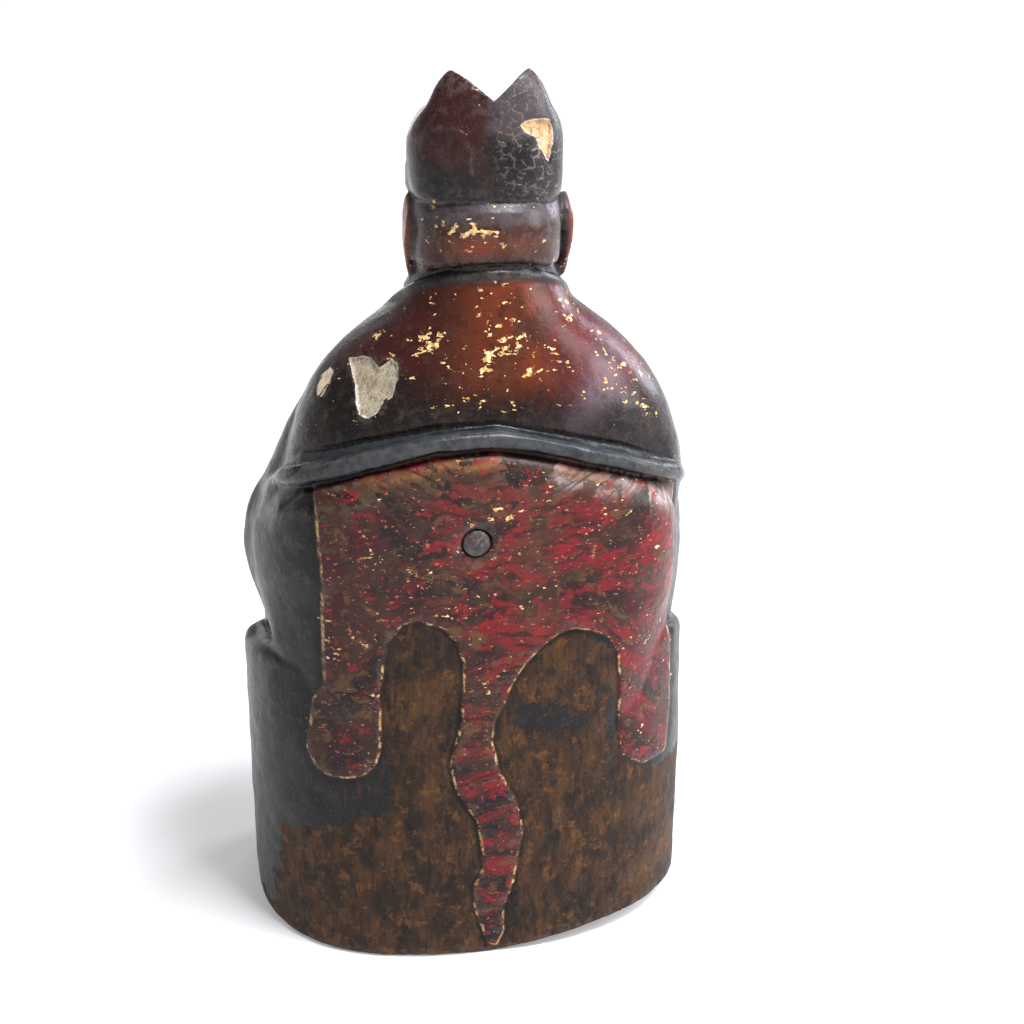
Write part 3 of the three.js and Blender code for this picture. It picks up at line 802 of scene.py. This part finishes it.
def fields(obj):
    points, normals = read(obj)
    x, y, z = points.T
    flat = points[:, [0, 2]]
    rear = step(normals[:, 1], -0.1, 0.35) * step(y, 2, 14)
    block = rear * (z < 181)
    wobble = noise(points, 16, 21)
    ragged = noise(points, 7, 61)
    over_rail = z - rail_height(x)
    collar_line = above_collar(y, z)

    # signed distances in mm to the tiger skin, black lacquer, bare wood and losses
    skin = np.where(block > 0.3, np.minimum(inside(flat, SKIN), -over_rail - 3.2), -FAR)
    black = np.max([inside(flat, outline) for outline in BLACK], axis=0)
    wood = np.minimum(inside(flat, WOOD), 0.8 * (y - 2) + 5 * wobble + 4 * ragged)
    wood = np.maximum(9 - z + 4 * wobble, wood)
    wood = np.where((block > 0.3) & (black > -4), np.minimum(wood, 1 - 0.6 * black), wood)
    loss = np.max([inside(flat, outline) for outline in (HAT_LOSS, HEART, SCAR)], axis=0)
    loss = np.where(rear > 0.4, loss, -FAR)

    # direction of the skin's brush strokes, which run down the tail
    distance, run = to_line(flat, TAIL)
    tail = step(9 - distance, 0, 3) * (z < 96) * block
    fan = 0.009 * (x + 5) ** 2 * step(abs(z - 132), 0, 30) * np.sign(132 - z)
    stroke = np.stack([x, z + fan, 0 * x], -1)
    down = np.stack([distance * 0.8 + 40, run * 1.3, 0 * x], -1)
    stroke = np.where(tail[:, None] > 0.5, down, stroke)

    chair = step(over_rail, 8, 2) * (z < 181) * step(y - 0.4 * (abs(x) - 60), -26, -12)
    side = chair * (1 - rear)
    robe = step(over_rail, 2, 5) * step(z, 150, 160) * step(collar_line, -1, -2.6) * rear
    warm = near(x + 7 + 5 * ragged, 18) * step(z, 184, 196)
    neck = step(collar_line, 2, 3.4) * (z > 200) * (z < BRIM_Z)
    nape = neck * rear * step(abs(x + 4 + 4 * ragged), 22, 15)
    collar = (abs(x - LEAN_X) < 30) * (z > 204)
    hat = step(z, BRIM_Z - 0.5, BRIM_Z + 0.5)
    lobe = step(x + 3 + 2 * ragged + 0.2 * (z - 262), -1, 2)
    rail = (near(over_rail, 3) > 0.35) * step(y, 0, 12) * (abs(x) < 68)
    paint = coats(
        rgb(28, 21, 20),
        ((18, 18, 19), chair),
        ((19, 18, 18), block * step(black + 3 * ragged, -2, 1)),
        ((60, 30, 30), side * step(z, 62, 84) * near(x - 70, 16) * 0.6),
        ((64, 34, 24), side * step(z, 50, 20) * 0.5),
        ((104, 46, 24), robe * warm * (0.75 + 0.35 * ragged)),
        ((88, 28, 27), robe * step(-x, 12, 32) * step(z, 178, 190) * (0.75 + 0.4 * ragged)),
        ((70, 24, 22), robe * step(x, 4, 20) * step(z, 190, 200) * 0.5),
        ((26, 22, 22), robe * step(z - 0.25 * abs(x), 182, 174) * 0.8),
        # painted highlight: a lavender sheen on the robe's right shoulder
        ((116, 100, 110), robe * near(x + 40 + 0.6 * (z - 196), 7) * near(z - 192, 13) * 0.45),
        ((44, 34, 32), neck),
        ((54, 23, 20), nape * 0.9),
        ((118, 50, 26), nape * near(z - 231, 3.5) * near(x - 1 + 5 * wobble, 13)),
        # painted highlight: a lavender-grey band where the head's back turns upwards under the hat
        ((70, 64, 70), neck * rear * step(z + 2 * ragged, 235, 239) * 0.75),
        ((110, 54, 32), neck * step(abs(x - LEAN_X + 1), 23.6, 24.4)),
        # painted shade in the groove under the collar
        ((16, 16, 16), near(collar_line - 3.0, 0.8) * collar * (z < 230) * 0.9),
        ((46, 46, 46), near(collar_line, 1.8) * collar * 0.7),
        ((22, 21, 22), hat),
        ((50, 25, 25), hat * lobe * step(z + 3 * ragged, 248, 258)),
        # painted highlights: lavender-grey on the top of the hat's right point and down its right side
        ((74, 66, 68), hat * (1 - lobe) * step(z + 3 * ragged, 258, 266) * 0.8),
        ((58, 52, 54), hat * near(x + 22, 6) * 0.5),
        ((56, 60, 64), rail * (0.85 + 0.15 * ragged)),
        # painted shade in the groove under the rail
        ((14, 12, 12), step(y, 0, 12) * near(over_rail + 3.9, 0.8) * (abs(x) < 66) * 0.8),
    )

    # the tiger skin
    under_rail = -over_rail - 3.4
    worn = 0.9 * near(x + 13 + 4 * ragged, 6) * step(z, 104, 124) * (0.7 + 0.5 * wobble)
    worn += 0.9 * near(under_rail - 5, 4) * step(abs(x), 64, 50) + 0.7 * near(x - 12, 18) * near(z - 166, 8)
    worn += 0.9 * near(x - 3 + 2 * ragged, 8) * near(z - 95, 9) + 0.5 * near(x - 14, 5) * near(z - 133, 16)
    # scuffs worn pale under the rail on the right, with a painted highlight on the rounded shoulder there
    scuff_and_highlight = near(under_rail - 4 - 2 * ragged, 3) * step(-x, 0, 22) * step(-x, 66, 60)
    bars = near((run + 3 * wobble) % 11 - 5.5, 2.1) * step(run, 8, 14) * (z < 92) * step(distance, 9, 7)
    crimson = coats(
        rgb(112, 18, 26),
        ((50, 18, 21), step(x, -4, 30) * 0.9),
        ((84, 18, 30), 0.7 * step(-x, 40, 56) * (z < 112)),
        ((70, 54, 40), worn * (0.8 + 0.4 * ragged)),
        ((118, 30, 28), near(under_rail - 1, 2 + ragged) * step(abs(x + 4), 46, 30)),
        ((150, 138, 134), scuff_and_highlight * (0.8 + 0.5 * wobble)),
        ((140, 96, 54), near(under_rail - 3.4 - ragged, 1) * step(abs(x + 2), 40, 28) * 0.8),
        ((17, 16, 17), block * bars * 1.3 - 0.2 * abs(ragged)),
    )
    around_peg = np.hypot(x - PEG[0], z - PEG[2])
    # painted shade in the hollow where the left fold meets the ledge
    shade_under_fold = np.linalg.norm((points - [64, 17, 101.5]) / [6, 9, 3.5], axis=1)
    paint = coats(
        np.where((skin > -0.3)[:, None], crimson, paint),
        # painted shade in the trench round the peg
        ((24, 19, 18), block * step(around_peg + ragged, 7, 4.8) * 0.9),
        ((14, 12, 12), step(shade_under_fold, 1.2, 0.5) * 0.9),
    )
    paint, metal = front_paint(paint, points)

    # how thickly gold and ground flakes lie
    flake = 0.9 * near(x + 4, 14) * near(z - 200 + 0.12 * x, 3.2) + 0.75 * near(x - 17, 9) * near(z - 204, 2)
    flake += 0.6 * near(x + 46 - 0.5 * (z - 184), 6) * step(abs(z - 186), 14, 8)
    flake += 0.55 * near(x + 1, 5) * near(z - 212, 7) + 0.3 * step(z, 180, 190)
    flake *= robe
    flake += nape * (0.95 * near(z - 235.5, 2) * near(x - 2, 11) + 0.3)
    on_skin = 0.05 + 0.25 * near(x - 12, 12) * near(z - 118, 22) + 0.3 * near(x - 15, 8) * near(z - 135, 12)
    on_skin += 0.3 * near(x + 17, 5) * near(z - 126, 9) + 0.3 * near(z - 110, 8)
    flake += (skin > 0) * on_skin
    flake += hat * (1.0 * near(x + 0.6, 2.2) * near(z - 273, 3) - 0.4)
    flake -= 1.2 * chair * (skin < -1.5)
    flake += (1 - rear) * (0.1 * step(-y, 5, 12) - 0.5) - 0.9 * step(wood, -3, 3) * (z < 130)

    flaky = (near(to_line(flat, FLAKED)[0], 3.2) + 0.5 * step(-x, 2, 8)) * hat * rear
    for name, values in {
        "skin": skin,
        "wood": wood,
        "loss": loss,
        "flake": flake,
        "metal": metal,
        "gloss": 0.25 + 0.75 * step(over_rail, 0, 4) - 0.3 * (wood > 0) + 0.5 * rail,
        "drawn": 1 - step(z, 156, 162),
        "flaky": flaky + 0.8 * rail * near(x + 60, 8),
        "hollow": hollows(points, normals, edges_of(obj)),
        "streaky": 1 - rail,
    }.items():
        store(obj, name, values)
    store(obj, "stroke", stroke, "FLOAT_VECTOR", "vector")
    core = coats(
        rgb(158, 146, 122),
        ((190, 148, 100), step(z, 220, 230)),
        ((226, 204, 162), near(x - 45, 4)),
    )
    for name, colours in (("paint", paint), ("core", core)):
        store(obj, name, np.column_stack([colours, np.ones(len(x))]), "FLOAT_COLOR", "color")


def front_paint(paint, points):
    """Colours of the front, and where it is gilded."""
    x, y, z = points.T
    across = abs(x - LAP_X)
    ahead = step(-y, 8, 14) * (z > PLINTH_Z + 0.5)
    lap = ahead * (z < COLLAR_Z)
    apron = lap * (across < 17.5) * (z < 110) * (y < -36)
    to_toe = np.minimum(np.hypot(x - 28, y + 36), np.hypot(x + 32, y + 36))
    boots = lap * (z < PLINTH_Z + 14) * step(to_toe, 17, 15)
    trim = apron * (near(across - 16, 1.5) + near(z - 34, 1.5))
    for side in SIDES:
        hem = near(z - PLINTH_Z - 13, 2.2) * (y < -20)
        trim += lap * (abs(x - side * KNEE_X - LAP_X) < 24) * hem
    for line in LAPELS:
        trim += lap * (y < -6) * near(to_line(points[:, [0, 2]], line)[0], 2.4)
    trim += lap * near(z - BELT_Z, 3.4) * (y < -20) * step(abs(x - LEAN_X), 43, 40)
    trim += lap * (y < -40) * (z > 60) * (z < 142) * near(across - 3 - 0.05 * (141 - z), 2.6)
    trim += ahead * near(z - BRIM_Z - 3, 3) * (y < -8)

    face = (z > CHIN_Z - 4) * (z < BRIM_Z) * step(-y, -4, 2) * (np.hypot(x - LEAN_X, y - 2) < 26) * (y < 4)
    face = face * step(z - 0.9 * (y + 12) - CHIN_Z, -4, -2)
    drawn = np.zeros(len(x))
    for side in SIDES:
        outward = (x - LEAN_X) * side
        lid = near(z - EYES_Z + 0.3 + 0.03 * (outward - 8.6) ** 2, 0.6) * step(abs(outward - 8.6), 5.2, 4)
        brow = near(z - EYES_Z - 6.2 + 0.035 * (outward - 8) ** 2, 0.8) * step(abs(outward - 9), 6, 4.5)
        drawn = np.maximum(drawn, np.maximum(lid, brow))
    drawn = drawn * face
    lips = face * (y < -15) * near(z - CHIN_Z - 9.6, 1.5) * step(abs(x - LEAN_X), 5, 3.6)
    paint = coats(
        paint,
        ((70, 26, 24), lap * 0.8 * step(across, 64, 58)),
        ((112, 26, 28), apron),
        ((22, 20, 20), boots),
        ((24, 18, 16), np.minimum(1, drawn * 1.4)),
        ((112, 44, 32), lips),
    )
    face = face * (1 - np.minimum(1, 1.5 * drawn)) * (1 - 0.9 * lips)
    hands = (y < -38) * (z > 108) * (z < 127) * (abs(abs(x - ARMS_X) - 30) < 11)
    return paint, np.clip(face + hands + 0.8 * trim, 0, 1)


# Materials

class Nodes:
    """The nodes of a material or world."""

    def __init__(self, owner, shader="Principled BSDF"):
        self.owner = owner
        owner.use_nodes = True
        self.tree = owner.node_tree
        self.shader = self.tree.nodes[shader]
        self.coordinates = self.add("ShaderNodeTexCoord").outputs

    def add(self, kind, *inputs, **values):
        """A node with its settings, and with its first inputs in order."""
        node = self.tree.nodes.new(kind)
        for key, value in values.items():
            setattr(node, key, value)
        for socket, value in zip(node.inputs, inputs):
            self.put(socket, value)
        return node

    def put(self, socket, value):
        if isinstance(value, bpy.types.NodeSocket):
            self.tree.links.new(value, socket)
        elif isinstance(value, (tuple, list, np.ndarray)) and len(socket.default_value) == 4:
            socket.default_value = (*value[:3], 1)
        else:
            socket.default_value = value

    def fill(self, node, values):
        for name, value in values.items():
            self.put(node.inputs[name], value)
        return node

    def math(self, operation, a, b=0.0):
        return self.add("ShaderNodeMath", a, b, operation=operation).outputs[0]

    def sum(self, *values):
        return reduce(lambda a, b: self.math("ADD", a, b), values)

    def times(self, *values):
        return reduce(lambda a, b: self.math("MULTIPLY", a, b), values)

    def step(self, value, low, high):
        return self.add("ShaderNodeMapRange", value, low, high, interpolation_type="SMOOTHSTEP").outputs[0]

    def mix(self, share, a, b):
        node = self.add("ShaderNodeMix", share, data_type="RGBA")
        self.put(node.inputs[6], a)
        self.put(node.inputs[7], b)
        return node.outputs[2]

    def coats(self, base, *layers):
        """Colours laid over a base in turn, each with the factors of its share."""
        for colour, *shares in layers:
            base = self.mix(self.times(*shares), base, rgb(*colour))
        return base

    def field(self, name, output="Fac"):
        return self.add("ShaderNodeAttribute", attribute_name=name).outputs[output]

    def texture(self, kind, size, vector=None, **values):
        """A texture with marks of that size, in mm for each axis."""
        unit = 1000 if vector is None else 1
        scales = [unit / s for s in (size if isinstance(size, tuple) else (size,) * 3)]
        vector = vector or self.coordinates["Object"]
        stretch = self.add("ShaderNodeVectorMath", vector, scales, operation="MULTIPLY")
        return self.fill(self.add(kind, **values), {"Vector": stretch.outputs[0], "Scale": 1})

    def noise(self, size, detail=3, rough=0.55, warp=0.0, vector=None):
        node = self.texture("ShaderNodeTexNoise", size, vector)
        return self.fill(node, {"Detail": detail, "Roughness": rough, "Distortion": warp}).outputs["Fac"]

    def patches(self, size, detail, rough, low, high):
        return self.step(self.noise(size, detail, rough), low, high)

    def cells(self, size, feature="F1", vector=None):
        return self.texture("ShaderNodeTexVoronoi", size, vector, feature=feature).outputs["Distance"]

    def finish(self, colour, rough, height):
        bump = self.fill(self.add("ShaderNodeBump"), {"Strength": 1, "Distance": 0.001, "Height": height})
        self.fill(self.shader, {"Base Color": colour, "Roughness": rough, "Normal": bump.outputs[0]})
        return self.owner


def lacquered_wood():
    n = Nodes(bpy.data.materials.new("old_lacquer_on_wood"))

    def varied(value, by):
        return n.times(n.math("SUBTRACT", value, 0.5), by)

    fine, medium, broad = n.noise(1.2, 4, 0.65), n.noise(4.5, 4, 0.6), n.noise(14, 3, 0.5)
    speck = n.noise(0.5, 3, 0.6)
    smear = n.noise((1.6, 1.6, 16), 4, 0.65, 0.5)

    # bare wood with upright grain
    grain = n.noise((3.2, 3.2, 26), 5, 0.7, 0.8)
    pore = n.noise((0.7, 0.7, 7), 4, 0.65)
    wood = n.coats(
        n.mix(n.patches((9, 9, 14), 5, 0.72, 0.38, 0.6), rgb(34, 23, 16), rgb(74, 48, 26)),
        ((38, 25, 18), n.step(grain, 0.48, 0.64), 0.6),
        ((24, 21, 19), n.patches((6, 6, 12), 5, 0.75, 0.54, 0.64), 0.85),
        ((30, 20, 14), n.step(pore, 0.5, 0.66), 0.4),
        ((104, 66, 30), n.patches(5, 5, 0.75, 0.54, 0.64), 0.65),
        ((19, 16, 15), n.patches((3, 3, 10), 4, 0.7, 0.56, 0.62), 0.7),
    )

    # lacquer, with its colour from the vertices
    base, streaky = n.field("paint", "Color"), n.field("streaky")
    lacquer = n.coats(
        base,
        ((20, 15, 15), n.step(medium, 0.5, 0.68), 0.5),
        ((84, 44, 26), n.step(smear, 0.52, 0.7), n.step(broad, 0.42, 0.6), streaky, 0.4),
        ((62, 50, 44), n.patches(3.6, 4, 0.7, 0.55, 0.62), streaky, 0.3),
        ((120, 100, 84), n.step(fine, 0.6, 0.75), 0.2),
    )

    # the tiger skin's strokes
    skin = n.field("skin")
    warp = n.texture("ShaderNodeTexNoise", 15).outputs["Color"]
    along = n.field("stroke", "Vector")
    bent = n.add("ShaderNodeVectorMath", warp, (8, 8, 0), along, operation="MULTIPLY_ADD").outputs[0]
    streak = n.cells((24, 7.5, 50), vector=bent)
    stroke = n.step(n.math("SUBTRACT", n.sum(0.42, varied(medium, 0.7)), streak), -0.03, 0.05)
    brush = n.step(n.noise((16, 2.4, 50), 5, 0.62, 0, bent), 0.48, 0.6)
    stroke = n.math("MAXIMUM", stroke, n.times(brush, 0.8))
    ochre = n.noise((6, 6, 4), 5, 0.68, 0.4)
    fur = n.coats(
        base,
        ((15, 15, 16), stroke, 0.9),
        ((58, 38, 27), n.patches(9, 5, 0.72, 0.47, 0.58), 0.75),
        ((26, 24, 23), n.patches(4, 5, 0.75, 0.54, 0.64), 0.6),
        ((90, 62, 36), n.step(ochre, 0.55, 0.6), n.step(broad, 0.36, 0.54), 0.75),
        ((144, 24, 30), n.step(ochre, 0.42, 0.37), 0.5),
        ((186, 110, 92), n.patches((1.8, 1.8, 1.1), 2, 0.6, 0.66, 0.68), 0.6),
    )
    on_skin = n.step(n.sum(skin, varied(fine, 0.8)), -0.15, 0.15)
    dark_edge = n.step(n.math("ABSOLUTE", n.sum(skin, 1.1)), 1.0, 0.3)
    colour = n.mix(on_skin, lacquer, fur)
    colour = n.coats(colour, ((16, 16, 15), dark_edge, n.step(medium, 0.4, 0.55), 0.8))

    # worn through to the wood, and the skin's drawn outline
    bare = n.sum(n.field("wood"), varied(broad, 8), varied(medium, 8), varied(fine, 3))
    bare = n.times(n.step(bare, -0.3, 0.4), n.math("SUBTRACT", 1, on_skin))
    colour = n.mix(bare, colour, wood)
    edge = n.math("ABSOLUTE", n.sum(skin, varied(medium, 0.7)))
    outline = n.times(n.step(edge, 0.6, 0.25), n.patches(5, 5, 0.75, 0.5, 0.55), n.field("drawn"))
    colour = n.mix(outline, colour, n.mix(n.step(fine, 0.45, 0.55), rgb(190, 160, 116), rgb(150, 98, 44)))

    # gilding, worn through to the red ground
    metal = n.field("metal")
    gold = n.step(n.sum(metal, varied(medium, 1.3), varied(fine, 0.5)), 0.4, 0.5)
    gilt = n.mix(n.step(broad, 0.4, 0.6), rgb(150, 106, 52), rgb(116, 76, 38))
    gilt = n.coats(gilt, ((84, 50, 30), n.step(fine, 0.52, 0.66), 0.4))
    ground = n.times(n.step(metal, 0.05, 0.4), n.math("SUBTRACT", 1, gold), 0.6)
    colour = n.mix(gold, n.coats(colour, ((72, 30, 22), ground)), gilt)

    # flakes of gold and ground
    flake = n.times(n.field("flake"), 0.14)
    flake = n.sum(n.noise((2.8, 2.8, 1.7), 3, 0.62), varied(n.noise(8, 3), 0.45), flake)
    flake = n.step(flake, 0.71, 0.72)
    colour = n.mix(flake, colour, n.mix(n.step(fine, 0.42, 0.58), rgb(236, 208, 156), rgb(190, 138, 66)))

    # losses
    loss = n.sum(n.field("loss"), varied(medium, 1.6), varied(fine, 1.0))
    rim = n.mix(n.step(fine, 0.4, 0.6), rgb(216, 208, 194), rgb(130, 118, 104))
    core = n.coats(
        n.field("core", "Color"),
        ((84, 66, 50), n.patches((1.3, 1.3, 9), 4, 0.7, 0.46, 0.64), 0.6),
        ((210, 204, 190), n.step(speck, 0.5, 0.6), n.step(medium, 0.4, 0.6), 0.6),
    )
    colour = n.mix(n.step(loss, -0.1, 0.1), colour, rim)
    colour = n.mix(n.step(loss, 0.12, 0.4), colour, core)

    # flaking lacquer, dust, dirt with painted shade in the hollows, and worn edges
    plates = n.cells((3.4, 3.4, 2.2), "DISTANCE_TO_EDGE")
    lifted = n.times(n.step(plates, 0.10, 0.03), n.field("flaky"), n.patches(3, 4, 0.7, 0.47, 0.56))
    hollow = n.field("hollow")
    raised = n.step(n.times(hollow, -1), 0.1, 0.34)
    sound = n.step(loss, 0.1, -0.1)
    colour = n.coats(
        colour,
        ((130, 122, 118), lifted, 0.5),
        ((150, 138, 126), n.step(speck, 0.64, 0.72), 0.3),
        # dirt and painted shade darkening the hollows
        ((13, 11, 11), n.step(hollow, 0.06, 0.34), sound, 0.75),
        ((90, 82, 74), raised, n.patches(3, 5, 0.7, 0.46, 0.56), sound, 0.35),
    )

    gloss = n.times(n.field("gloss"), -0.12)
    rough = n.sum(0.39, varied(medium, 0.3), varied(fine, 0.15), n.times(bare, 0.25), gloss)
    height = n.sum(
        n.times(medium, 0.22), n.times(fine, 0.09), n.times(speck, 0.03), n.times(smear, 0.06),
        n.times(bare, -0.15), n.times(grain, bare, 0.3), n.times(pore, bare, 0.12),
        n.times(flake, 0.1), n.times(lifted, 0.2), n.times(stroke, on_skin, 0.06),
    )
    n.shader.inputs["Specular IOR Level"].default_value = 0.2
    return n.finish(colour, rough, height)


def peg_wood():
    n = Nodes(bpy.data.materials.new("worn_peg"))
    grain = n.noise((1.2, 6, 1.2), 4, 0.6)
    colour = n.mix(n.step(grain, 0.4, 0.62), rgb(46, 38, 34), rgb(84, 74, 68))
    colour = n.coats(colour, ((36, 27, 24), n.patches(2.5, 4, 0.7, 0.48, 0.6), 0.8))
    rough = n.sum(0.4, n.times(n.noise(2, 3), 0.3))
    return n.finish(colour, rough, n.sum(n.times(grain, 0.25), n.times(n.noise(0.6, 3), 0.1)))


figure = carved_figure()
fields(figure)
peg = back_peg()
for piece, node, slot, material in (
    (figure, "carved_figure", "lacquered_wood", lacquered_wood()),
    (peg, "back_peg", "peg_wood", peg_wood()),
):
    piece.data.materials.clear()
    piece.data.materials.append(material)
    piece.data.polygons.foreach_set("use_smooth", [True] * len(piece.data.polygons))
    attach(piece, "root")
    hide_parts(node)


# Studio

FLOOR_REACH = 30e3


def floor():
    corners = FLOOR_REACH * np.array([[-1, -1, 0], [1, -1, 0], [1, 1, 0], [-1, 1, 0]])
    obj = mesh_of("floor", [(corners, [[0, 1, 2, 3]])])
    n = Nodes(bpy.data.materials.new("pale_floor"))
    colour = n.mix(n.noise(90, 3), rgb(228, 228, 228), rgb(234, 234, 234))
    away = n.add("ShaderNodeVectorMath", n.coordinates["Object"], operation="LENGTH").outputs["Value"]
    glow = n.times(n.step(away, 0.25, 1.3), 0.6)
    n.fill(n.shader, {"Emission Color": (1, 1, 1), "Emission Strength": n.sum(0.25, glow)})
    obj.data.materials.append(n.finish(colour, 0.9, n.times(n.noise(30, 3), 0.05)))


def link(name, data, place, towards):
    """Put a lamp or camera in the scene so that it looks along a direction."""
    obj = bpy.data.objects.new(name, data)
    obj.location = place
    obj.rotation_mode = "QUATERNION"
    obj.rotation_quaternion = towards.to_track_quat("-Z", "Y")
    scene.collection.objects.link(obj)
    return obj


def light(name, place, target, size, power, colour):
    lamp = bpy.data.lights.new(name, "AREA")
    lamp.shape, lamp.size, lamp.size_y = "RECTANGLE", *size
    lamp.energy, lamp.color = power, colour
    link(name, lamp, place, Vector(target) - Vector(place))


floor()
light("key", (-0.9, 0.3, 0.62), (0, 0, 0.15), (0.5, 0.7), 10, (0.92, 0.94, 1.0))
light("top", (-0.3, 0.35, 1.05), (0, 0.02, 0.16), (0.35, 0.35), 16, (0.94, 0.95, 1.0))
light("rim", (-0.95, -0.55, 0.5), (0, 0, 0.16), (0.4, 0.5), 6, (0.84, 0.86, 1.0))
light("front", (-0.1, -0.95, 0.5), (0, 0, 0.15), (0.6, 0.6), 3, (1.0, 0.99, 0.97))

# A white world, weaker higher up: the height of a direction, and the strength from there
LOW, HIGH = (0.14, 0.55), (0.3, 0.24)
sky = Nodes(bpy.data.worlds.new("studio"), "Background")
height = sky.add("ShaderNodeSeparateXYZ", sky.coordinates["Generated"]).outputs["Z"]
fade = sky.add("ShaderNodeMapRange", height, LOW[0], HIGH[0], LOW[1], HIGH[1])
sky.fill(sky.shader, {"Color": (1, 1, 1), "Strength": fade.outputs[0]})
scene.world = sky.owner
scene.view_settings.view_transform = "Standard"

# The photo's camera, fitted to the figure's outline
CAMERA_TURN, CAMERA_PITCH = math.radians(170), math.radians(20)
CAMERA_PLACE = (0.065874, 0.462045, 0.307181)
FOCAL_LENGTH = 1500 / 1024
SENSOR_WIDTH = 36

level = math.cos(CAMERA_PITCH)
back = Vector((math.sin(CAMERA_TURN) * level, -math.cos(CAMERA_TURN) * level, math.sin(CAMERA_PITCH)))
camera = bpy.data.cameras.new("camera")
camera.sensor_width = SENSOR_WIDTH
camera.lens = FOCAL_LENGTH * SENSOR_WIDTH
scene.camera = link("camera", camera, CAMERA_PLACE, -back)
